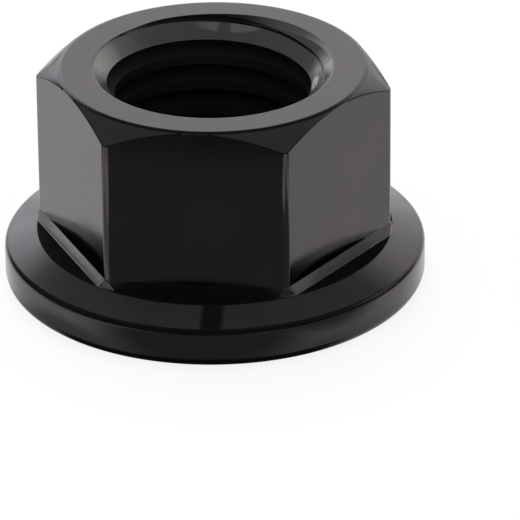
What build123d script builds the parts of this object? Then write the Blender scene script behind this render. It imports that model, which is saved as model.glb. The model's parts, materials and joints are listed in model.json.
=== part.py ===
from build123d import *
from math import cos, radians, sqrt, tan
import os

# Flange nut M10 x 1.25 with a hexagon 14 mm across flats
#
# One piece of steel, turned from bar and milled. It stands on the bearing face of its
# flange, with the thread axis along +Z and the origin at the centre of that face. Two
# flats of the hexagon face +Y and -Y. Lengths are in millimetres, angles in degrees.

# Thread and its countersunk mouths
thread_diameter = 10.0
thread_pitch = 1.25
thread_height_share = 0.85  # of the full thread height, left standing by the tapping drill
mouth_margin = 0.4  # how far each countersink reaches past the thread's major radius
mouth_angle = 90.0  # whole angle of the countersink

# Hexagon
across_flats = 14.0
corner_radius = 0.4  # rounding of the six upright corners
foot_radius = 0.4  # left at the foot of each flat by the cutter's rounded corner
total_height = 10.3
top_face_inset = 0.1  # how far the flat top ring stops short of the flats
top_chamfer_angle = 37.0  # slope of the chamfer cone, from the horizontal

# Flange
neck_margin = 0.03  # how far the turned neck stands outside the rounded corners
flange_reach = 1.5  # how far the rim stands outside the neck
rim_height = 1.8  # where the flange's slope would meet its rim, before rounding
flange_slope_angle = 22.0
rim_top_radius = 0.3
rim_foot_radius = 0.5

# Sizes that follow from those above
full_thread_height = 5 / 8 * sqrt(3) / 2 * thread_pitch
bore_radius = thread_diameter / 2 - thread_height_share * full_thread_height
mouth_radius = thread_diameter / 2 + mouth_margin
mouth_depth = (mouth_radius - bore_radius) / tan(radians(mouth_angle / 2))

corner_reach = (across_flats / 2 - corner_radius) / cos(radians(30)) + corner_radius
neck_radius = corner_reach + neck_margin
flange_radius = neck_radius + flange_reach
ledge_height = rim_height + flange_reach * tan(radians(flange_slope_angle))

top_face_radius = across_flats / 2 - top_face_inset
chamfer_drop = (neck_radius - top_face_radius) * tan(radians(top_chamfer_angle))


with BuildPart() as flange_nut:
    # Bar below the flats, left wide here and trimmed by the turned outline further down
    with BuildSketch():
        Circle(2 * flange_radius)
    extrude(amount=ledge_height)

    # Six milled flats above the ledge that the cutter leaves
    with BuildSketch(Plane.XY.offset(ledge_height)) as hexagon:
        RegularPolygon(across_flats / 2, side_count=6, major_radius=False)
        fillet(hexagon.vertices(), corner_radius)
    extrude(amount=total_height - ledge_height)

    # Hollow rounding between the flats and the ledge
    ledge = flange_nut.faces().filter_by(GeomType.PLANE).filter_by(
        lambda face: abs(face.center().Z - ledge_height) < 1e-6
    )[0]
    fillet(ledge.inner_wires()[0].edges(), foot_radius)

    # Turned outline and bore: rim, sloping flange, neck, top chamfer and countersinks
    with BuildSketch(Plane.XZ) as turned_section:
        with BuildLine():
            Polyline(
                (bore_radius, mouth_depth),
                (mouth_radius, 0),
                (flange_radius, 0),
                (flange_radius, rim_height),
                (neck_radius, ledge_height),
                (neck_radius, total_height - chamfer_drop),
                (top_face_radius, total_height),
                (mouth_radius, total_height),
                (bore_radius, total_height - mouth_depth),
                close=True,
            )
        make_face()
        rim_corners = turned_section.vertices().group_by(Axis.X)[-1].sort_by(Axis.Y)
        fillet(rim_corners[0], rim_foot_radius)
        rim_corners = turned_section.vertices().group_by(Axis.X)[-1].sort_by(Axis.Y)
        fillet(rim_corners[-1], rim_top_radius)
    revolve(mode=Mode.INTERSECT)

flange_nut.part.label = "flange_nut"

os.makedirs("parts", exist_ok=True)
export_step(flange_nut.part, "parts/flange_nut.step")
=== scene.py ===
# %% [markdown]
# # A black flange nut
# The real object is one piece of steel: a bar turned to a flange and a neck, milled to a
# hexagon, drilled, countersunk, tapped and blackened. The steps below follow the same order,
# because a shape that is made the way it was machined gets the right edges by itself.
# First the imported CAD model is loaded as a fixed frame. It says where everything is.

# %% Load the frame
import json
from math import atan2, cos, exp, pi, radians, sin, sqrt, tan

import bmesh
import bpy
from mathutils import Matrix, Vector


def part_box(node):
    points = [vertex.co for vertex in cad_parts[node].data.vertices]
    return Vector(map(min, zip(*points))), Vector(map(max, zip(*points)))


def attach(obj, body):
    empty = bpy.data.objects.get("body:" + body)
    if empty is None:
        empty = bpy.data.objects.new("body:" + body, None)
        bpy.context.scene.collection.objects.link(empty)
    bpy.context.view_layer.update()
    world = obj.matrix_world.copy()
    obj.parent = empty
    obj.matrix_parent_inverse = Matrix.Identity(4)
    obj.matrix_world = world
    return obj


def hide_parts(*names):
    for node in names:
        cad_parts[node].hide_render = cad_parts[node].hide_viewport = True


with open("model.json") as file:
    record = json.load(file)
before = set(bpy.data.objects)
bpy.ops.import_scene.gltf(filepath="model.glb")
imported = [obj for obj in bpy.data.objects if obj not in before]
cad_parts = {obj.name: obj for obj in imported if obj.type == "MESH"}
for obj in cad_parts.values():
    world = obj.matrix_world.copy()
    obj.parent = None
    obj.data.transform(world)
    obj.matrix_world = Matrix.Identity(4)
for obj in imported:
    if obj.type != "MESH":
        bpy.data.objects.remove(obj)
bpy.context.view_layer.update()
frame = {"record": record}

MM = 0.001
low_corner, high_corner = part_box("flange_nut")
print("CAD box in mm:", [round(v / MM, 3) for v in (high_corner - low_corner)])

# %% [markdown]
# ## Sizes
# The outer sizes are read from the frame, and the hole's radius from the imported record. The
# others are the drawing's own sizes in millimetres, named once, so that each later step can
# be read as a machining step.

# %% Sizes
flange_radius = (high_corner.x - low_corner.x) / 2
total_height = high_corner.z - low_corner.z
bore_radius = frame["record"]["mounts"][0]["dims"]["r_mm"] * MM

across_flats = 14.0 * MM
corner_radius = 0.4 * MM
foot_radius = 0.4 * MM
flange_reach = 1.5 * MM
neck_radius = flange_radius - flange_reach
rim_height = 1.8 * MM
slope_angle = radians(22)
ledge_height = rim_height + (flange_radius - neck_radius) * tan(slope_angle)
rim_top_radius = 0.3 * MM
rim_foot_radius = 0.5 * MM

top_face_inset = 0.1 * MM
top_face_radius = across_flats / 2 - top_face_inset
chamfer_angle = radians(37)
chamfer_drop = (neck_radius - top_face_radius) * tan(chamfer_angle)
mouth_radius = 5.4 * MM
mouth_depth = mouth_radius - bore_radius

thread_pitch = 1.25 * MM
thread_radius = 5.0 * MM
print("ledge height in mm:", round(ledge_height / MM, 3))
print("chamfer drop in mm:", round(chamfer_drop / MM, 3))

# %% [markdown]
# ## Camera
# The camera stands where the photographer's stood. It is placed on a circle round the nut by
# its azimuth, elevation and distance, aimed a little below and beside the nut, because the
# nut sits in the upper left of the picture, and turned by half a degree of roll. A long lens
# keeps the verticals nearly parallel, as they are in the photograph.

# %% Camera
camera_target = Vector((0, 0, 5.25 * MM))
camera_azimuth = radians(6.978)
camera_elevation = radians(26.165)
camera_roll = radians(-0.525)
camera_distance = 256.2 * MM
aim_right = 2.0265 * MM
aim_down = 4.2476 * MM

away = Vector(
    (
        sin(camera_azimuth) * cos(camera_elevation),
        -cos(camera_azimuth) * cos(camera_elevation),
        sin(camera_elevation),
    )
)
eye = camera_target + camera_distance * away
level_right = Vector((cos(camera_azimuth), sin(camera_azimuth), 0))
level_up = away.cross(level_right)
aim = camera_target + aim_right * level_right - aim_down * level_up

bpy.ops.object.select_all(action="DESELECT")
bpy.ops.object.camera_add(location=eye)
camera = bpy.context.object
camera.name = "photo_camera"
camera.rotation_mode = "QUATERNION"
camera.rotation_quaternion = (
    (aim - eye).to_track_quat("-Z", "Y").to_matrix() @ Matrix.Rotation(camera_roll, 3, "Z")
).to_quaternion()
camera.data.lens = 392.1
camera.data.sensor_width = 36.0
camera.data.clip_start = 10 * MM
camera.data.clip_end = 20.0
bpy.context.scene.camera = camera
print("camera up:", [round(v, 4) for v in camera.matrix_basis.to_3x3() @ Vector((0, 1, 0))])

# %% [markdown]
# ## Turning helper
# A lathe makes rings. In Blender a ring of edges can be extruded and then scaled and moved to
# the next radius and height of the section, which is what this helper does. Every ring keeps
# the same number of points, so the walls are clean strips of quads that bevel well.

# %% Turning helper
TURN_STEPS = 240


def turn_section(name, section):
    """Turns a closed section, given as (radius, height) points, round the Z axis."""
    bpy.ops.object.select_all(action="DESELECT")
    first_radius, first_height = section[0]
    bpy.ops.mesh.primitive_circle_add(
        vertices=TURN_STEPS, radius=first_radius, location=(0, 0, first_height)
    )
    turned = bpy.context.object
    turned.name = name
    bpy.ops.object.transform_apply(location=True, rotation=True, scale=True)
    bpy.ops.object.mode_set(mode="EDIT")
    bpy.ops.mesh.select_all(action="SELECT")
    radius, height = first_radius, first_height
    for next_radius, next_height in list(section[1:]) + [section[0]]:
        growth = next_radius / radius
        bpy.ops.mesh.extrude_edges_move(
            TRANSFORM_OT_translate={"value": (0, 0, next_height - height)}
        )
        bpy.ops.transform.resize(value=(growth, growth, 1), center_override=(0, 0, 0))
        radius, height = next_radius, next_height
    bpy.ops.mesh.select_all(action="SELECT")
    bpy.ops.mesh.remove_doubles(threshold=0.001 * MM)
    bpy.ops.mesh.normals_make_consistent(inside=False)
    bpy.ops.object.mode_set(mode="OBJECT")
    print(name, "has", len(turned.data.polygons), "faces")
    return turned


# %% [markdown]
# ## Rounding helper
# In edit mode one would click an edge loop and bevel it. Here the loop is found by its place:
# a test says whether a point lies on it, and an edge is taken when both its ends pass.

# %% Rounding helper
SAME_PLACE = 0.002 * MM


def pick_only(piece):
    """Selects one object and nothing else."""
    bpy.ops.object.select_all(action="DESELECT")
    piece.select_set(True)
    bpy.context.view_layer.objects.active = piece


def bevel_where(piece, is_wanted, width, segments):
    """Rounds the edges whose two ends both fit is_wanted."""
    pick_only(piece)
    bpy.ops.object.mode_set(mode="EDIT")
    bpy.ops.mesh.select_mode(type="EDGE")
    bpy.ops.mesh.select_all(action="DESELECT")
    shape = bmesh.from_edit_mesh(piece.data)
    chosen = 0
    for edge in shape.edges:
        if all(is_wanted(corner.co) for corner in edge.verts):
            edge.select_set(True)
            chosen += 1
    bmesh.update_edit_mesh(piece.data)
    bpy.ops.mesh.bevel(
        offset_type="OFFSET", offset=width, segments=segments, profile=0.5, affect="EDGES"
    )
    bpy.ops.object.mode_set(mode="OBJECT")
    print(piece.name, "edges rounded:", chosen)


def on_ring(radius, height):
    """A test for points on the ring of that radius and height."""
    return lambda p: (
        abs(p.z - height) < SAME_PLACE and abs(sqrt(p.x ** 2 + p.y ** 2) - radius) < SAME_PLACE
    )


# %% [markdown]
# ## Turned blank
# The lathe gives the outline: bearing face, rim, sloping flange, neck, top chamfer and flat
# top ring, with the hole and its two countersinks down the middle. The two edges of the rim
# get their real roundings. The other turned edges are only broken by a few hundredths of a
# millimetre, which is what makes them catch a thin line of light.

# %% Turned blank
turned_blank = turn_section(
    "turned_blank",
    [
        (bore_radius, mouth_depth),
        (mouth_radius, 0),
        (flange_radius, 0),
        (flange_radius, rim_height),
        (neck_radius, ledge_height),
        (neck_radius, total_height - chamfer_drop),
        (top_face_radius, total_height),
        (mouth_radius, total_height),
        (bore_radius, total_height - mouth_depth),
    ],
)
bevel_where(turned_blank, on_ring(flange_radius, 0), rim_foot_radius, 8)
rim_half_turn = (radians(90) - slope_angle) / 2
bevel_where(
    turned_blank, on_ring(flange_radius, rim_height), rim_top_radius * tan(rim_half_turn), 6
)
broken_edge = 0.05 * MM
bevel_where(turned_blank, on_ring(top_face_radius, total_height), 2.2 * broken_edge, 4)
for edge_ring in ((mouth_radius, total_height), (mouth_radius, 0), (neck_radius, ledge_height)):
    bevel_where(turned_blank, on_ring(*edge_ring), broken_edge, 3)

# %% [markdown]
# ## Milled hexagon
# The six flats come from a cutter with a worn corner. It leaves a short steep foot under each
# flat and a level ledge outside it, which ends where the flange's slope begins. The bar starts
# as a six-sided prism, and its upright corners are rounded.

# %% Milled hexagon
bar_radius = 1.3 * flange_radius
bar_overlap = 1.0 * MM
foot_rise = 1.12 * foot_radius
foot_reach = 0.5 * foot_radius
corner_distance = across_flats / 2 / cos(radians(30))

bpy.ops.object.select_all(action="DESELECT")
bpy.ops.mesh.primitive_cylinder_add(
    vertices=6,
    radius=corner_distance,
    depth=total_height + bar_overlap - ledge_height - foot_rise,
    location=(0, 0, (total_height + bar_overlap + ledge_height + foot_rise) / 2),
    rotation=(0, 0, radians(30)),
)
milled_bar = bpy.context.object
milled_bar.name = "milled_bar"
bpy.ops.object.transform_apply(location=True, rotation=True, scale=True)
print("flat to flat in mm:", round(2 * max(v.co.y for v in milled_bar.data.vertices) / MM, 3))

bpy.ops.object.mode_set(mode="EDIT")
bpy.ops.mesh.select_mode(type="EDGE")
bpy.ops.mesh.select_all(action="DESELECT")
bar_shape = bmesh.from_edit_mesh(milled_bar.data)
for edge in bar_shape.edges:
    if abs(edge.verts[0].co.z - edge.verts[1].co.z) > 1 * MM:
        edge.select_set(True)
bmesh.update_edit_mesh(milled_bar.data)
bpy.ops.mesh.bevel(
    offset_type="OFFSET",
    offset=corner_radius * tan(radians(30)),
    segments=8,
    profile=0.5,
    affect="EDGES",
)

# %% [markdown]
# ## Foot and ledge
# The prism's lower face is extruded down and a little outwards as the foot, then outwards as
# the ledge and down as the bar. The foot's lower edge is rounded a little.

# %% Foot and ledge
bpy.ops.mesh.select_mode(type="FACE")
bpy.ops.mesh.select_all(action="DESELECT")
bar_shape = bmesh.from_edit_mesh(milled_bar.data)
for face in bar_shape.faces:
    if face.normal.z < -0.9:
        face.select_set(True)
bmesh.update_edit_mesh(milled_bar.data)
bpy.ops.mesh.extrude_region_move(TRANSFORM_OT_translate={"value": (0, 0, -foot_rise)})
foot_growth = 1 + 2 * foot_reach / across_flats
bpy.ops.transform.resize(
    value=(foot_growth, foot_growth, 1), center_override=(0, 0, ledge_height)
)
bpy.ops.mesh.extrude_region_move(TRANSFORM_OT_translate={"value": (0, 0, 0)})
ledge_growth = bar_radius / corner_distance
bpy.ops.transform.resize(
    value=(ledge_growth, ledge_growth, 1), center_override=(0, 0, ledge_height)
)
bpy.ops.mesh.extrude_region_move(
    TRANSFORM_OT_translate={"value": (0, 0, -ledge_height - bar_overlap)}
)
bpy.ops.object.mode_set(mode="OBJECT")


def at_foot_edge(point):
    """Whether a point lies on the foot's lower edge, inside the ledge's own outline."""
    beyond_corners = 8.3 * MM
    from_axis = sqrt(point.x ** 2 + point.y ** 2)
    return abs(point.z - ledge_height) < SAME_PLACE and from_axis < beyond_corners


bevel_where(milled_bar, at_foot_edge, 0.08 * foot_radius, 2)

# %% [markdown]
# ## Cutting tools as modifiers
# A boolean modifier that keeps the overlap of two shapes does the milling: what is inside
# both the turned blank and the milled bar is the nut. The curved edges where the chamfer
# meets the flats come out by themselves, as they do on the machine.

# %% Cut one shape with another
def cut_with(piece, tool, operation):
    """Applies a boolean with the tool and deletes the tool."""
    pick_only(piece)
    cut = piece.modifiers.new("cut", "BOOLEAN")
    cut.object = tool
    cut.operation = operation
    cut.solver = "EXACT"
    bpy.ops.object.modifier_apply(modifier=cut.name)
    bpy.data.objects.remove(tool, do_unlink=True)
    print(piece.name, operation.lower(), "leaves", len(piece.data.polygons), "faces")


nut = turned_blank
cut_with(nut, milled_bar, "INTERSECT")
nut.name = "blackened_flange_nut"

# %% [markdown]
# ## Broken chamfer edges
# Tumbling takes the sharpness off the curved edges between the chamfer and the flats. They are
# found by their two faces, one upright and one sloping, and get a very narrow bevel. In the
# picture such a bevel is a fine dark line, because it mirrors the dark room in front.

# %% Broken chamfer edges
top_zone = 1.5 * MM
outside_mouth = 6.5 * MM
pick_only(nut)
bpy.ops.object.mode_set(mode="EDIT")
bpy.ops.mesh.select_mode(type="EDGE")
bpy.ops.mesh.select_all(action="DESELECT")
nut_shape = bmesh.from_edit_mesh(nut.data)
chosen = 0
for edge in nut_shape.edges:
    top = max(corner.co.z for corner in edge.verts)
    if len(edge.link_faces) != 2 or not 0.1 * MM < total_height - top < top_zone:
        continue
    steepness = sorted(face.normal.z for face in edge.link_faces)
    outside = min(corner.co.to_2d().length for corner in edge.verts) > outside_mouth
    if outside and steepness[0] < 0.1 and 0.7 < steepness[1] < 0.9:
        edge.select_set(True)
        chosen += 1
bmesh.update_edit_mesh(nut.data)
bpy.ops.mesh.bevel(
    offset_type="OFFSET",
    offset=0.04 * MM,
    segments=2,
    profile=0.5,
    affect="EDGES",
    clamp_overlap=False,
)
bpy.ops.object.mode_set(mode="OBJECT")
print("chamfer edges broken:", chosen)

# %% [markdown]
# ## Thread
# The groove of a metric thread has flanks at 60 degrees to each other and a narrow flat
# bottom. Its outline is drawn once beside the axis: a plane loses its face, and its four
# corners are moved to the groove's section.

# %% Thread
THREAD_STEPS = 120
thread_turns = 6.9
tool_radius = bore_radius - 0.25 * MM
root_half = thread_pitch / 16
mouth_half = root_half + (thread_radius - tool_radius) * tan(radians(30))
last_full_turn = total_height - 1.393 * MM
thread_start = last_full_turn - thread_pitch * (6 + 30 / 360)
groove_section = [
    (tool_radius, -mouth_half),
    (thread_radius, -root_half),
    (thread_radius, root_half),
    (tool_radius, mouth_half),
]

bpy.ops.object.select_all(action="DESELECT")
bpy.ops.mesh.primitive_plane_add(size=1 * MM)
thread_tool = bpy.context.object
thread_tool.name = "thread_tool"
bpy.ops.object.mode_set(mode="EDIT")
bpy.ops.mesh.delete(type="ONLY_FACE")
tool_shape = bmesh.from_edit_mesh(thread_tool.data)
tool_shape.verts.ensure_lookup_table()
outline = [tool_shape.verts[0]]
last = None
while len(outline) < 4:
    here = outline[-1]
    edge = next(e for e in here.link_edges if e is not last)
    outline.append(edge.other_vert(here))
    last = edge
for corner, (radius, rise) in zip(outline, groove_section):
    corner.co = Vector((radius, 0, thread_start + rise))
bmesh.update_edit_mesh(thread_tool.data)
bpy.ops.object.mode_set(mode="OBJECT")
print("groove depth in mm:", round((thread_radius - bore_radius) / MM, 3))

# %% [markdown]
# ## Cut the thread
# A Screw modifier sweeps the section up the axis, one pitch for each turn, right-handed. The
# sweep goes on until the groove has run out on the upper countersink. Its ends are closed, and
# a boolean difference cuts it.

# %% Cut the thread
sweep = thread_tool.modifiers.new("sweep", "SCREW")
sweep.axis = "Z"
sweep.angle = 2 * pi * thread_turns
sweep.screw_offset = thread_pitch * thread_turns
sweep.steps = round(THREAD_STEPS * thread_turns)
sweep.render_steps = sweep.steps
bpy.ops.object.modifier_apply(modifier=sweep.name)
bpy.ops.object.mode_set(mode="EDIT")
bpy.ops.mesh.select_all(action="SELECT")
bpy.ops.mesh.fill_holes(sides=8)
bpy.ops.mesh.select_all(action="SELECT")
bpy.ops.mesh.normals_make_consistent(inside=False)
bpy.ops.object.mode_set(mode="OBJECT")
print("thread tool faces:", len(thread_tool.data.polygons))
cut_with(nut, thread_tool, "DIFFERENCE")

# %% [markdown]
# ## Run-out of the thread
# Above the last full turn the tap left a fine groove that winds on up the countersink, wide
# where it leaves through the top edge, and it scooped a little off that edge. A Screw modifier
# can't change a helix's radius and thickness as it rises, so both cuts are curves whose points
# are set by a formula. Each curve has a round section that grows and shrinks along its way. It
# is turned into a mesh and cut out of the nut.

# %% Cut along a curve
def cut_along(name, start, end, steps, roundness, place_at):
    """Cuts a round groove; place_at(degrees) gives radius, depth below the top and thickness."""
    bpy.ops.object.select_all(action="DESELECT")
    path = bpy.data.curves.new(name, "CURVE")
    path.dimensions = "3D"
    path.bevel_depth = 1 * MM
    path.bevel_resolution = roundness
    path.use_fill_caps = True
    line = path.splines.new("POLY")
    line.points.add(steps)
    for step, point in enumerate(line.points):
        degrees = start + (end - start) * step / steps
        radius, depth, thickness = place_at(degrees)
        turn = radians(degrees)
        point.co = (radius * cos(turn), radius * sin(turn), total_height - depth, 1)
        point.radius = thickness / MM
    tool = bpy.data.objects.new(name, path)
    bpy.context.collection.objects.link(tool)
    tool.select_set(True)
    bpy.context.view_layer.objects.active = tool
    bpy.ops.object.convert(target="MESH")
    tool = bpy.context.object
    bpy.ops.object.mode_set(mode="EDIT")
    bpy.ops.mesh.select_all(action="SELECT")
    bpy.ops.mesh.normals_make_consistent(inside=False)
    bpy.ops.object.mode_set(mode="OBJECT")
    cut_with(nut, tool, "DIFFERENCE")


# %% [markdown]
# ## Where the two cuts run
# Angles are counted from the right, anticlockwise seen from above, so 90 degrees is the far
# side. The scoop is the side of a thick tube that lies above and inside the mouth's edge and
# only bites a tenth of a millimetre, so its borders are soft.

# %% Run-out of the thread
def ease(value, start, end):
    """A smooth step from 0 at start to 1 at end."""
    part = min(1.0, max(0.0, (value - start) / (end - start)))
    return part * part * (3 - 2 * part)


def bump(value, middle, half_width):
    """A smooth hill, 1 at its middle."""
    return exp(-(((value - middle) / half_width) ** 2))


def run_out(degrees):
    """The fine groove, which climbs the cone and is thickest at the far side."""
    depth = (0.45 - 0.03 * ease(degrees, -40, 20) - 0.38 * ease(degrees, 28, 114)) * MM
    swell = 0.06 * ease(degrees, -44, -10) + 0.14 * bump(degrees, 97, 26)
    return mouth_radius - depth, depth, max(0.01, swell * ease(degrees, 156, 140)) * MM


def scoop(degrees):
    """The thick tube, whose bite grows from nothing and fades away again."""
    there = ease(degrees, -20, 46) * ease(degrees, 152, 118)
    bite = (-0.02 + (0.085 + 0.045 * bump(degrees, 65, 24)) * there) * MM
    away_from_edge = 3.0 * MM
    lean = radians(22.5)
    inwards = away_from_edge * sin(lean)
    upwards = away_from_edge * cos(lean)
    return mouth_radius - inwards, -upwards, away_from_edge + bite


cut_along("scoop_tool", -20, 152, 68, 30, scoop)
cut_along("run_out_tool", -44, 156, 64, 4, run_out)

# %% [markdown]
# ## Smooth shading
# Faces that meet at a small angle are one curved surface and share their shading. Real edges
# stay crisp, and the level faces are shaded flat. The weighted normals keep the other big flat
# faces flat right up to their edges.

# %% Smooth shading
curved_below = radians(22)
quite_level = 0.9999
pick_only(nut)
bpy.ops.object.shade_smooth_by_angle(angle=curved_below)
for face in nut.data.polygons:
    if abs(face.normal.z) > quite_level:
        face.use_smooth = False
even = nut.modifiers.new("even", "WEIGHTED_NORMAL")
even.mode = "FACE_AREA"
even.weight = 90
even.keep_sharp = True
bpy.ops.object.modifier_apply(modifier=even.name)
print("nut triangles:", sum(len(f.vertices) - 2 for f in nut.data.polygons))

# %% [markdown]
# ## Black finish
# Black oxide is a thin hard skin on steel. It reflects about seven percent of what it faces
# and much more at a glancing angle, and it has almost no colour of its own. A dark metallic
# surface behaves like that. Where a tool has left fine marks, the skin also scatters a little
# light, which a lower metallic value gives. Slow noise moves the colour between a greenish and
# a reddish black, and faster noise varies the gloss.

# %% Black finish
greenish_black = (0.96, 0.98, 0.92)
reddish_black = (1.1, 0.98, 0.96)


def black_finish(name, tone, metallic, roughness_low, roughness_high):
    """A blackened steel with its colour and gloss varied by noise, before its tool marks."""
    finish = bpy.data.materials.new(name)
    finish.use_nodes = True
    nodes = finish.node_tree.nodes
    links = finish.node_tree.links
    skin = nodes["Principled BSDF"]
    skin.inputs["Metallic"].default_value = metallic

    place = nodes.new("ShaderNodeTexCoord")
    tint_noise = nodes.new("ShaderNodeTexNoise")
    tint_noise.inputs["Scale"].default_value = 260
    tint_noise.inputs["Detail"].default_value = 3
    links.new(place.outputs["Object"], tint_noise.inputs["Vector"])
    tint = nodes.new("ShaderNodeMix")
    tint.data_type = "RGBA"
    tint.inputs["A"].default_value = [tone * part for part in greenish_black] + [1]
    tint.inputs["B"].default_value = [tone * part for part in reddish_black] + [1]
    tint_range = nodes.new("ShaderNodeMapRange")
    tint_range.inputs["From Min"].default_value = 0.35
    tint_range.inputs["From Max"].default_value = 0.65
    links.new(tint_noise.outputs["Fac"], tint_range.inputs["Value"])
    links.new(tint_range.outputs["Result"], tint.inputs["Factor"])
    links.new(tint.outputs["Result"], skin.inputs["Base Color"])

    gloss_noise = nodes.new("ShaderNodeTexNoise")
    gloss_noise.inputs["Scale"].default_value = 900
    gloss_noise.inputs["Detail"].default_value = 4
    links.new(place.outputs["Object"], gloss_noise.inputs["Vector"])
    gloss = nodes.new("ShaderNodeMapRange")
    gloss.inputs["From Min"].default_value = 0.3
    gloss.inputs["From Max"].default_value = 0.7
    gloss.inputs["To Min"].default_value = roughness_low
    gloss.inputs["To Max"].default_value = roughness_high
    links.new(gloss_noise.outputs["Fac"], gloss.inputs["Value"])
    links.new(gloss.outputs["Result"], skin.inputs["Roughness"])
    return finish, nodes, links, skin, place


# %% [markdown]
# ## Turning rings
# The lathe's tool leaves fine rings round the axis. One number, the distance from the axis
# plus the height, changes along every turned face, so a one-dimensional noise of it makes
# rings on the top, the chamfer, the flange and the rim alike.

# %% Turning rings
def add_rings(nodes, links, skin, place, strength):
    """Fine rings round the axis, in the bump."""
    flatten = nodes.new("ShaderNodeVectorMath")
    flatten.operation = "MULTIPLY"
    flatten.inputs[1].default_value = (1, 1, 0)
    links.new(place.outputs["Object"], flatten.inputs[0])
    reach = nodes.new("ShaderNodeVectorMath")
    reach.operation = "LENGTH"
    links.new(flatten.outputs["Vector"], reach.inputs[0])
    split = nodes.new("ShaderNodeSeparateXYZ")
    links.new(place.outputs["Object"], split.inputs[0])
    along = nodes.new("ShaderNodeMath")
    along.operation = "MULTIPLY_ADD"
    along.inputs[1].default_value = 1.7
    links.new(split.outputs["Z"], along.inputs[0])
    links.new(reach.outputs["Value"], along.inputs[2])
    rings = nodes.new("ShaderNodeTexNoise")
    rings.noise_dimensions = "1D"
    rings.inputs["Scale"].default_value = 9000
    rings.inputs["Detail"].default_value = 3
    links.new(along.outputs["Value"], rings.inputs["W"])
    ring_bump = nodes.new("ShaderNodeBump")
    ring_bump.inputs["Strength"].default_value = strength
    ring_bump.inputs["Distance"].default_value = 0.01 * MM
    links.new(rings.outputs["Fac"], ring_bump.inputs["Height"])
    links.new(ring_bump.outputs["Normal"], skin.inputs["Normal"])


# %% [markdown]
# ## Turned top and chamfer
# The top, the chamfer and the bearing face are cut by a sharp tool and shine softly.

# %% Turned top and chamfer
turned_black, nodes, links, skin, place = black_finish("turned_black", 0.078, 0.8, 0.14, 0.22)
add_rings(nodes, links, skin, place, 0.2)
print("made", turned_black.name)

# %% [markdown]
# ## Rim and broken edges
# The rim and the broken edges are smoother than the other turned faces and mirror more.

# %% Rim and broken edges
rim_black, nodes, links, skin, place = black_finish("rim_black", 0.072, 1.0, 0.12, 0.2)
add_rings(nodes, links, skin, place, 0.15)
print("made", rim_black.name)

# %% [markdown]
# ## Marks
# A mark is a soft-edged ellipsoid in the nut's own space. Where it crosses the surface the
# colour changes to the mark's colour. The Mapping node shrinks the ellipsoid to a ball, and the
# distance from its centre says how far inside a point lies.

# %% Marks
def add_mark(nodes, links, skin, place, colour, centre, half_size, share=1.0):
    """Paints a soft mark over the skin's colour; centre and half_size are in millimetres."""
    fit = nodes.new("ShaderNodeMapping")
    fit.vector_type = "TEXTURE"
    fit.inputs["Location"].default_value = [part * MM for part in centre]
    fit.inputs["Scale"].default_value = [part * MM for part in half_size]
    links.new(place.outputs["Object"], fit.inputs["Vector"])
    inside = nodes.new("ShaderNodeVectorMath")
    inside.operation = "LENGTH"
    links.new(fit.outputs["Vector"], inside.inputs[0])
    strength = nodes.new("ShaderNodeMapRange")
    strength.interpolation_type = "SMOOTHSTEP"
    strength.inputs["From Min"].default_value = 1.15
    strength.inputs["From Max"].default_value = 0.6
    strength.inputs["To Max"].default_value = share
    links.new(inside.outputs["Value"], strength.inputs["Value"])
    painted = nodes.new("ShaderNodeMix")
    painted.data_type = "RGBA"
    links.new(strength.outputs["Result"], painted.inputs["Factor"])
    links.new(skin.inputs["Base Color"].links[0].from_socket, painted.inputs["A"])
    painted.inputs["B"].default_value = (*colour, 1)
    links.new(painted.outputs["Result"], skin.inputs["Base Color"])


# %% [markdown]
# ## Flange slope
# The slope is the dullest of the turned faces. On its front a painted dark reflection runs
# right across the slope.

# %% Flange slope
flange_black, nodes, links, skin, place = black_finish("flange_black", 0.082, 0.78, 0.16, 0.24)
add_rings(nodes, links, skin, place, 0.2)
# Painted dark reflection across the front of the slope.
painted_dark_reflection = (0.017, 0.017, 0.014)
add_mark(nodes, links, skin, place, painted_dark_reflection, (0.88, -8.8, 2.1), (0.55, 2.6, 2.6))
print("made", flange_black.name)

# %% [markdown]
# ## Milled flats
# A cutter that travels along a flat leaves marks too faint to see one by one. A noise that is
# stretched sideways gives the flats their slightly uneven shine.

# %% Milled flats
def milled_finish(name):
    """The mirror-like black of a milled flat, with its faint cutter marks in the bump."""
    finish, nodes, links, skin, place = black_finish(name, 0.07, 1.0, 0.1, 0.16)
    stretch = nodes.new("ShaderNodeMapping")
    stretch.inputs["Scale"].default_value = (0.12, 0.12, 1.0)
    links.new(place.outputs["Object"], stretch.inputs["Vector"])
    mill_marks = nodes.new("ShaderNodeTexNoise")
    mill_marks.inputs["Scale"].default_value = 3000
    mill_marks.inputs["Detail"].default_value = 2
    links.new(stretch.outputs["Vector"], mill_marks.inputs["Vector"])
    mill_bump = nodes.new("ShaderNodeBump")
    mill_bump.inputs["Strength"].default_value = 0.12
    mill_bump.inputs["Distance"].default_value = 0.01 * MM
    links.new(mill_marks.outputs["Fac"], mill_bump.inputs["Height"])
    links.new(mill_bump.outputs["Normal"], skin.inputs["Normal"])
    return finish, nodes, links, skin, place


milled_black, nodes, links, skin, place = milled_finish("milled_black")
print("made", milled_black.name)

# %% [markdown]
# ## Flats beside the front
# The two flats on either side of the front one carry a painted dark reflection at the foot of
# their front corners, where they mirror the dark ledge and flange. They get the same finish with
# a mark at each corner, so that the mark ends at the corner and doesn't spread onto the front
# flat.

# %% Flats beside the front
side_flat_black, nodes, links, skin, place = milled_finish("side_flat_black")
# Painted dark reflection at the foot of each front corner.
for colour, centre, half_size, share in (
    ((0.01, 0.01, 0.01), (-4.04, -7.0, 2.9), (4.2, 4.2, 2.4), 0.95),
    ((0.01, 0.01, 0.01), (4.04, -7.0, 2.7), (3.2, 3.2, 1.4), 0.9),
):
    add_mark(nodes, links, skin, place, colour, centre, half_size, share)
print("made", side_flat_black.name)
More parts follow.
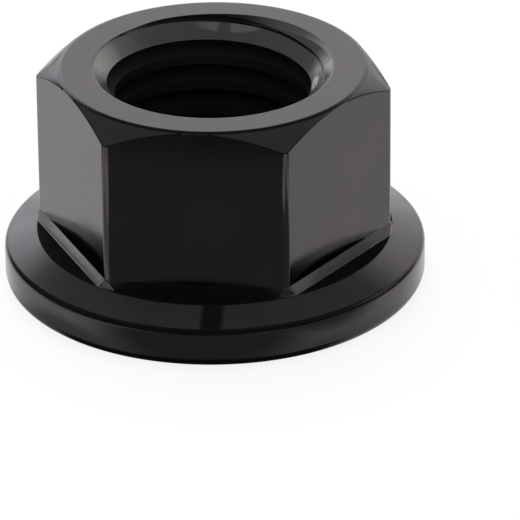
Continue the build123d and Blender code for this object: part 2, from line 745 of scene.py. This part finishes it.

# %% [markdown]
# ## Countersinks
# The countersinking tool leaves a rougher cone, so its skin looks a little greyer. Painted
# highlights lighten the cone at its right and left ends and in a band along the far side, with a
# darker painted reflection across the middle of that band. At the right a small bright spot is a
# painted highlight, with a small dark spot beside it.

# %% Countersinks
countersunk_black, nodes, links, skin, place = black_finish(
    "countersunk_black", 0.13, 0.7, 0.2, 0.3
)
for colour, centre, half_size, share in (
    # Painted highlight at the right end of the cone.
    ((0.26, 0.25, 0.24), (4.9, 0.6, 9.8), (0.7, 2.4, 0.7), 0.9),
    # Painted highlight at the left end of the cone.
    ((0.2, 0.2, 0.19), (-4.9, 0.6, 9.8), (0.7, 2.0, 0.7), 0.8),
    # Painted highlight in a band along the far side.
    ((0.27, 0.27, 0.26), (0.4, 5.0, 9.93), (1.9, 0.3, 0.3), 0.8),
    # A darker painted reflection across the middle of that band.
    ((0.12, 0.13, 0.11), (-0.05, 4.9, 9.8), (0.34, 0.8, 0.8), 1.0),
    # Painted highlight: a small bright spot at the right.
    ((0.85, 0.84, 0.82), (4.58, 0.27, 9.49), (0.25, 0.7, 0.25), 1.0),
    ((0.035, 0.04, 0.037), (5.14, -0.13, 10.04), (0.18, 0.32, 0.18), 0.8),
):
    add_mark(nodes, links, skin, place, colour, centre, half_size, share)
print("made", countersunk_black.name)

# %% [markdown]
# ## Scooped edge
# The edge that the tap scooped is a little darker than the cone, most of all at the right, and
# towards the far side it is painted black, a painted dark reflection.

# %% Scooped edge
scooped_black, nodes, links, skin, place = black_finish("scooped_black", 0.11, 0.7, 0.2, 0.3)
for colour, centre, half_size, share in (
    # Painted dark reflection towards the far side.
    ((0.018, 0.017, 0.016), (-2.0, 5.2, 10.1), (4.2, 1.6, 1.6), 1.0),
    ((0.06, 0.052, 0.05), (5.6, 0.4, 10.2), (0.8, 1.6, 0.8), 0.8),
):
    add_mark(nodes, links, skin, place, colour, centre, half_size, share)
print("made", scooped_black.name)

# %% [markdown]
# ## Foot of the flats
# The corner of the cutter rubs more than it cuts, so the steep foot is a satin grey. A painted
# highlight makes it lighter beside the left front corner, a painted shade makes it darker beside
# the right one, and in front a painted shade makes it black.

# %% Foot of the flats
foot_black, nodes, links, skin, place = black_finish("foot_black", 0.19, 0.7, 0.22, 0.32)
for colour, centre, half_size, share in (
    # Painted highlight beside the left front corner.
    ((0.3, 0.3, 0.29), (-6.15, -3.55, 2.6), (2.6, 2.6, 0.9), 0.75),
    # Painted shade beside the right front corner.
    ((0.1, 0.1, 0.095), (6.15, -3.55, 2.6), (2.6, 2.6, 0.9), 0.75),
    # Painted shade: the front of the foot is black.
    ((0.008, 0.008, 0.008), (0, -7.4, 2.6), (6.0, 1.0, 1.4), 1.0),
):
    add_mark(nodes, links, skin, place, colour, centre, half_size, share)
print("made", foot_black.name)

# %% [markdown]
# ## Hole and ledges
# The tapped wall has a rough skin. It and the small ledges beside the flats are painted almost
# black, a painted shade for the deep shade in the hole and on the ledges, and the ledges are the
# deepest black on the nut. Neither mirrors anything, so they aren't metallic.

# %% Hole and ledges
# Painted shade: the tapped wall is painted almost black.
hole_black, nodes, links, skin, place = black_finish("hole_black", 0.009, 0.0, 0.5, 0.6)
skin.inputs["Specular IOR Level"].default_value = 0.05
# Painted shade: the ledges are painted the deepest black.
ledge_black, nodes, links, skin, place = black_finish("ledge_black", 0.006, 0.0, 0.5, 0.6)
skin.inputs["Specular IOR Level"].default_value = 0.02
print("made", hole_black.name, "and", ledge_black.name)

# %% [markdown]
# ## Which finish a face gets
# Each face is told apart by its place and its normal, as one would pick it out by eye: how far
# it is from the axis and from the nearer end, and how much it looks up.

# %% Which finish a face gets
LEVEL = 0.999
SAME_SLOPE = 0.01
mouth_zone = 0.7 * MM


def finish_in_mouth(on_cone, from_end, radius, degrees):
    """The finish of a face round the upper countersink."""
    on_edge = from_end < 0.3 * MM and radius > mouth_radius - 0.27 * MM
    if on_cone:
        return countersunk_black
    return scooped_black if on_edge and -10 < degrees < 145 else rim_black


def finish_of_flat(face):
    """The finish of an upright face: the two flats beside the front one have their own."""
    beside_front = abs(face.normal.y + sin(radians(30))) < 0.003
    return side_flat_black if beside_front else milled_black


def finish_of(face):
    """The finish of any face of the nut."""
    centre = face.center
    up = face.normal.z
    radius = sqrt(centre.x ** 2 + centre.y ** 2)
    degrees = atan2(centre.y, centre.x) / radians(1)
    from_end = min(centre.z, total_height - centre.z)
    on_cone = abs(mouth_radius - from_end - radius) < 0.008 * MM
    at_mouth = centre.z > total_height - mouth_zone
    in_thread = radius < mouth_radius - 0.06 * MM and not at_mouth
    if radius < mouth_radius - 0.6 * MM or in_thread:
        return countersunk_black if on_cone and from_end < mouth_depth else hole_black
    if at_mouth and radius < mouth_radius + 0.35 * MM and up < LEVEL:
        return finish_in_mouth(on_cone, from_end, radius, degrees)
    if centre.z > total_height - top_zone:
        if up > LEVEL or abs(up - cos(chamfer_angle)) < SAME_SLOPE:
            return turned_black
        return finish_of_flat(face) if abs(up) < SAME_SLOPE else rim_black
    if abs(up) < 0.1 and radius > 6 * MM and centre.z > ledge_height:
        return finish_of_flat(face)
    if centre.z > ledge_height - 0.05 * MM and radius < neck_radius + 0.02 * MM:
        return ledge_black if up > 0.985 else foot_black
    if abs(up - cos(slope_angle)) < SAME_SLOPE and centre.z > 1 * MM:
        return flange_black
    return turned_black if up < -LEVEL else rim_black


# %% [markdown]
# ## Give each face its finish
# The nut gets all ten finishes as material slots, and each face the number of its slot.

# %% Give each face its finish
finishes = [
    turned_black, rim_black, flange_black, milled_black, side_flat_black,
    countersunk_black, scooped_black, foot_black, hole_black, ledge_black,
]
nut.data.materials.clear()
for finish in finishes:
    nut.data.materials.append(finish)
face_count = {finish.name: 0 for finish in finishes}
for face in nut.data.polygons:
    wanted = finish_of(face)
    face.material_index = finishes.index(wanted)
    face_count[wanted.name] += 1
print("faces of each finish:", face_count)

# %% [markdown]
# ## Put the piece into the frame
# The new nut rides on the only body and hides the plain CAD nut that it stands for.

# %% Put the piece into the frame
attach(nut, "root")
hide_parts("flange_nut")
print("pieces of the object:", nut.name)

# %% [markdown]
# ## Floor
# A plain white floor, as in the photograph. To the camera and to shiny surfaces it is mostly
# its own white, and the rest is its answer to the lamps, which keeps a faint shadow.

# %% Floor
def seen_directly(nodes, links):
    """A number that is 1 for rays from the camera and for mirrored or transmitted ones."""
    path = nodes.new("ShaderNodeLightPath")
    first = nodes.new("ShaderNodeMath")
    first.operation = "MAXIMUM"
    links.new(path.outputs["Is Camera Ray"], first.inputs[0])
    links.new(path.outputs["Is Glossy Ray"], first.inputs[1])
    second = nodes.new("ShaderNodeMath")
    second.operation = "MAXIMUM"
    links.new(first.outputs["Value"], second.inputs[0])
    links.new(path.outputs["Is Transmission Ray"], second.inputs[1])
    return second.outputs["Value"]


bpy.ops.object.select_all(action="DESELECT")
bpy.ops.mesh.primitive_plane_add(size=6.0, location=(0, 0, -0.01 * MM))
floor = bpy.context.object
floor.name = "studio_floor"
white_floor = bpy.data.materials.new("white_floor")
white_floor.use_nodes = True
nodes = white_floor.node_tree.nodes
links = white_floor.node_tree.links
nodes.clear()
floor_share = 0.86
lit = nodes.new("ShaderNodeBsdfDiffuse")
lit.inputs["Color"].default_value = (0.9, 0.9, 0.9, 1)
own = nodes.new("ShaderNodeEmission")
own.inputs["Color"].default_value = (1, 1, 1, 1)
own.inputs["Strength"].default_value = 1.0
share = nodes.new("ShaderNodeMath")
share.operation = "MULTIPLY"
share.inputs[1].default_value = floor_share
links.new(seen_directly(nodes, links), share.inputs[0])
blend = nodes.new("ShaderNodeMixShader")
links.new(share.outputs["Value"], blend.inputs["Fac"])
links.new(lit.outputs["BSDF"], blend.inputs[1])
links.new(own.outputs["Emission"], blend.inputs[2])
floor_output = nodes.new("ShaderNodeOutputMaterial")
links.new(blend.outputs["Shader"], floor_output.inputs["Surface"])
floor.data.materials.append(white_floor)
print("share of the floor's own white:", floor_share)

# %% [markdown]
# ## World
# To the camera and in mirrors the background is pure white, like the floor. The light that it
# sends to dull surfaces is a little weaker.

# %% World
world = bpy.data.worlds.new("white_studio")
bpy.context.scene.world = world
world.use_nodes = True
nodes = world.node_tree.nodes
links = world.node_tree.links
sky = nodes["Background"]
sky.inputs["Color"].default_value = (1, 1, 1, 1)
fill_level = 0.9
level = nodes.new("ShaderNodeMapRange")
level.inputs["To Min"].default_value = fill_level
level.inputs["To Max"].default_value = 1.0
links.new(seen_directly(nodes, links), level.inputs["Value"])
links.new(level.outputs["Result"], sky.inputs["Strength"])
print("background's light on dull surfaces:", fill_level)

# %% [markdown]
# ## Lamps
# One large soft lamp behind the nut gives the light top face, and one above gives the floor
# its soft shadow.

# %% Lamps
def soft_lamp(name, azimuth, elevation, distance, width, height, brightness):
    """A rectangular lamp aimed at the nut; azimuth 0 is behind it, positive to the right."""
    turn, rise = radians(azimuth), radians(elevation)
    way = Vector((sin(turn) * cos(rise), cos(turn) * cos(rise), sin(rise)))
    bpy.ops.object.select_all(action="DESELECT")
    bpy.ops.object.light_add(type="AREA", location=camera_target + distance * way)
    lamp = bpy.context.object
    lamp.name = name
    lamp.data.shape = "RECTANGLE"
    lamp.data.size = width
    lamp.data.size_y = height
    lamp.data.energy = brightness * pi * width * height
    lamp.rotation_mode = "QUATERNION"
    lamp.rotation_quaternion = (-way).to_track_quat("-Z", "Y")
    lamp.visible_camera = False
    print(name, "power in W:", round(lamp.data.energy, 3))
    return lamp


soft_lamp("back_softbox", -5, 20, 0.5, 0.3, 0.3, 0.2)
top_softbox = soft_lamp("top_softbox", -20, 60, 0.6, 0.35, 0.35, 4.0)
top_softbox.visible_glossy = False

# %% [markdown]
# ## Node helpers
# The tones of the tent and of the shade come from numbers that are added, compared and
# blended. One helper makes any math node, and the other makes a soft step.

# %% Node helpers
def number_node(nodes, links, operation, *values):
    """A math node whose inputs are numbers or sockets; returns its output."""
    node = nodes.new("ShaderNodeMath")
    node.operation = operation
    for socket, value in zip(node.inputs, values):
        if isinstance(value, (int, float)):
            socket.default_value = value
        else:
            links.new(value, socket)
    return node.outputs["Value"]


def fade(nodes, links, value, start, end, low=0.0, high=1.0):
    """A smooth step from low at start to high at end."""
    node = nodes.new("ShaderNodeMapRange")
    node.interpolation_type = "SMOOTHSTEP"
    node.inputs["From Min"].default_value = start
    node.inputs["From Max"].default_value = end
    node.inputs["To Min"].default_value = low
    node.inputs["To Max"].default_value = high
    links.new(value, node.inputs["Value"])
    return node.outputs["Result"]


# %% [markdown]
# ## Tent
# Black metal shows its surroundings more than itself. The photograph's nut mirrors a room
# that is bright only low down behind it, a little lighter on its right than on its left, and
# dark overhead and on the camera's side. A dome round the nut carries these tones as soft
# patches, each placed by its azimuth and elevation. The camera looks through the dome.

# %% Tent
bpy.ops.object.select_all(action="DESELECT")
bpy.ops.mesh.primitive_uv_sphere_add(segments=96, ring_count=48, radius=0.9)
tent = bpy.context.object
tent.name = "studio_tent"
bpy.ops.object.mode_set(mode="EDIT")
bpy.ops.mesh.select_mode(type="FACE")
bpy.ops.mesh.select_all(action="DESELECT")
tent_shape = bmesh.from_edit_mesh(tent.data)
for face in tent_shape.faces:
    if face.calc_center_median().z < 0:
        face.select_set(True)
bmesh.update_edit_mesh(tent.data)
bpy.ops.mesh.delete(type="FACE")
bpy.ops.object.mode_set(mode="OBJECT")
print("tent faces:", len(tent.data.polygons))

# %% [markdown]
# ## Directions on the tent
# Each point of the dome lies in some direction from its middle. The azimuth is counted from
# behind the nut, positive to the right, and the elevation from the floor.

# %% Directions on the tent
tent_cloth = bpy.data.materials.new("tent_cloth")
tent_cloth.use_nodes = True
nodes = tent_cloth.node_tree.nodes
links = tent_cloth.node_tree.links
nodes.clear()
place = nodes.new("ShaderNodeTexCoord")
towards = nodes.new("ShaderNodeVectorMath")
towards.operation = "NORMALIZE"
links.new(place.outputs["Object"], towards.inputs[0])
parts = nodes.new("ShaderNodeSeparateXYZ")
links.new(towards.outputs["Vector"], parts.inputs[0])
east, north, up = parts.outputs["X"], parts.outputs["Y"], parts.outputs["Z"]
azimuth = number_node(nodes, links, "ARCTAN2", east, north)
elevation = number_node(nodes, links, "ARCSINE", up)
print("nodes for the directions:", len(nodes))

# %% [markdown]
# ## Patches of light
# A patch is full in its middle and fades towards its borders. One wide patch low down behind
# the nut is the brightest. The room's own tone is darker on the camera's side.

# %% Patches of light
def patch(left, right, bottom, top, soft_sides, soft_ends, level):
    """A patch of light on the dome with soft edges, its sides and ends given in degrees."""
    half, middle = (right - left) / 2, (right + left) / 2
    from_middle = number_node(
        nodes, links, "ABSOLUTE", number_node(nodes, links, "SUBTRACT", azimuth, radians(middle))
    )
    beside = fade(
        nodes, links, from_middle, radians(half + soft_sides / 2), radians(half - soft_sides / 2)
    )
    from_waist = number_node(
        nodes, links, "ABSOLUTE",
        number_node(nodes, links, "SUBTRACT", elevation, radians((bottom + top) / 2)),
    )
    half_rise = (top - bottom) / 2
    between = fade(
        nodes,
        links,
        from_waist,
        radians(half_rise + soft_ends / 2),
        radians(half_rise - soft_ends / 2),
    )
    inside = number_node(nodes, links, "MULTIPLY", beside, between)
    return number_node(nodes, links, "MULTIPLY", inside, level)


room_tone = 0.09
front_tone = fade(nodes, links, north, -0.1, -0.5, 1.0, 0.6)
tone = number_node(nodes, links, "MULTIPLY", front_tone, room_tone)
for light in (
    patch(-44, 42, -38, 38, 16, 16, 0.88),
    patch(-42, -14, 8, 33, 8, 8, 0.55),
    patch(40, 80, 16, 42, 20, 16, 0.35),
):
    tone = number_node(nodes, links, "ADD", tone, light)
glow = nodes.new("ShaderNodeEmission")
cool = nodes.new("ShaderNodeMix")
cool.data_type = "RGBA"
cool.inputs["A"].default_value = (1, 1, 1, 1)
cool.inputs["B"].default_value = (0.93, 0.98, 1.06, 1)
links.new(fade(nodes, links, azimuth, radians(-10), radians(-26)), cool.inputs["Factor"])
links.new(cool.outputs["Result"], glow.inputs["Color"])
links.new(tone, glow.inputs["Strength"])
tent_output = nodes.new("ShaderNodeOutputMaterial")
links.new(glow.outputs["Emission"], tent_output.inputs["Surface"])
tent.data.materials.append(tent_cloth)
tent.visible_camera = False
tent.visible_diffuse = False
tent.visible_shadow = False
print("nodes of the tent:", len(nodes))

# %% [markdown]
# ## Shade on the floor
# The nut's front and its rim mirror the floor just before them, which lay in the nut's own
# shade. The photograph's ground was cut out to white, but the metal still shows that shade.
# A thin card with soft edges lies there, seen by the metal and not by the camera.

# %% Shade on the floor
bpy.ops.object.select_all(action="DESELECT")
bpy.ops.mesh.primitive_plane_add(size=1.6, location=(0, 0, 0))
shade_card = bpy.context.object
shade_card.name = "shade_card"
bpy.ops.object.transform_apply(location=True, rotation=True, scale=True)
shade_cloth = bpy.data.materials.new("shade_cloth")
shade_cloth.use_nodes = True
nodes = shade_cloth.node_tree.nodes
links = shade_cloth.node_tree.links
nodes.clear()
place = nodes.new("ShaderNodeTexCoord")
print("card width in mm:", round(shade_card.dimensions.x / MM))

# %% [markdown]
# ## Where the shade lies
# The shade is made of soft shapes: one in front of the nut, a ring round its rim, one beside
# each front corner, and the dark floor farther away in front and at the sides. Where shapes
# overlap, the strongest counts.

# %% Where the shade lies
def soft_spot(centre_x, centre_y, half_width, half_depth, inner, outer):
    """1 inside an ellipse on the floor, 0 outside it, with a soft edge."""
    fit = nodes.new("ShaderNodeMapping")
    fit.vector_type = "TEXTURE"
    fit.inputs["Location"].default_value = (centre_x * MM, centre_y * MM, 0)
    fit.inputs["Scale"].default_value = (half_width * MM, half_depth * MM, 1)
    links.new(place.outputs["Object"], fit.inputs["Vector"])
    away_from = nodes.new("ShaderNodeVectorMath")
    away_from.operation = "LENGTH"
    links.new(fit.outputs["Vector"], away_from.inputs[0])
    return fade(nodes, links, away_from.outputs["Value"], outer, inner)


front_spot = soft_spot(1, -21, 14.5, 15, 0.7, 1.12)
floor_place = nodes.new("ShaderNodeSeparateXYZ")
links.new(place.outputs["Object"], floor_place.inputs[0])
floor_x, floor_y = floor_place.outputs["X"], floor_place.outputs["Y"]
left_side = fade(nodes, links, floor_x, 12 * MM, 5 * MM)
far_left = fade(nodes, links, floor_x, -8 * MM, -10 * MM, 0.7, 0.12)
rim_spot = number_node(nodes, links, "MULTIPLY", soft_spot(0, 0, 12, 12, 0.88, 1.0), left_side)
rim_spot = number_node(nodes, links, "MULTIPLY", rim_spot, far_left)
from_middle = number_node(nodes, links, "ABSOLUTE", floor_x)
sideways = number_node(nodes, links, "MULTIPLY", from_middle, 0.6)
forwards = number_node(nodes, links, "MULTIPLY", floor_y, -1.0)
beyond = number_node(nodes, links, "SUBTRACT", forwards, sideways)
far_front = fade(nodes, links, beyond, 24 * MM, 33 * MM)
left_corner = number_node(nodes, links, "MULTIPLY", soft_spot(-16, -12, 8, 8, 0.5, 1.1), 0.55)
right_spot = soft_spot(15, -15, 10.5, 11.5, 0.75, 1.04)
right_corner = number_node(nodes, links, "MULTIPLY", right_spot, 0.95)
far_right = fade(nodes, links, floor_x, 28 * MM, 40 * MM)
farther_left = fade(nodes, links, floor_x, -26 * MM, -38 * MM, 0.0, 0.7)
foot_ring = soft_spot(0, 0, 10, 10, 0.985, 1.04)
in_front = fade(nodes, links, floor_y, -5 * MM, -8 * MM)
at_rim_foot = number_node(nodes, links, "MULTIPLY", foot_ring, in_front)
shapes = (
    rim_spot, far_front, left_corner, right_corner, far_right, farther_left, at_rim_foot
)
cover = front_spot
for shape in shapes:
    cover = number_node(nodes, links, "MAXIMUM", cover, shape)
print("shapes of the shade:", 1 + len(shapes))

# %% [markdown]
# ## How dark the shade is
# Outside the shade the card is clear. Inside it glows faintly, as a dim floor does: less far
# in front of the nut, and least right under the rim.

# %% How dark the shade is
clear = nodes.new("ShaderNodeBsdfTransparent")
dark = nodes.new("ShaderNodeEmission")
dark.inputs["Color"].default_value = (1, 1, 1, 1)
shade_tone = fade(nodes, links, floor_y, -28 * MM, -24 * MM, 0.06, 0.16)
foot_tone = fade(nodes, links, at_rim_foot, 0.0, 1.0, 1.0, 0.2)
shade_tone = number_node(nodes, links, "MULTIPLY", shade_tone, foot_tone)
links.new(shade_tone, dark.inputs["Strength"])
blend = nodes.new("ShaderNodeMixShader")
links.new(cover, blend.inputs["Fac"])
links.new(clear.outputs["BSDF"], blend.inputs[1])
links.new(dark.outputs["Emission"], blend.inputs[2])
card_output = nodes.new("ShaderNodeOutputMaterial")
links.new(blend.outputs["Shader"], card_output.inputs["Surface"])
shade_card.data.materials.append(shade_cloth)
shade_card.visible_camera = False
shade_card.visible_diffuse = False
shade_card.visible_shadow = False
print("nodes of the shade card:", len(nodes))

# %% [markdown]
# ## Stage pieces
# The floor, the tent and the card are the studio and no part of the nut. The Standard view
# shows a white of 1 as plain white.

# %% Stage pieces
bpy.context.scene.view_settings.view_transform = "Standard"
print("stage pieces:", floor.name, tent.name, shade_card.name)
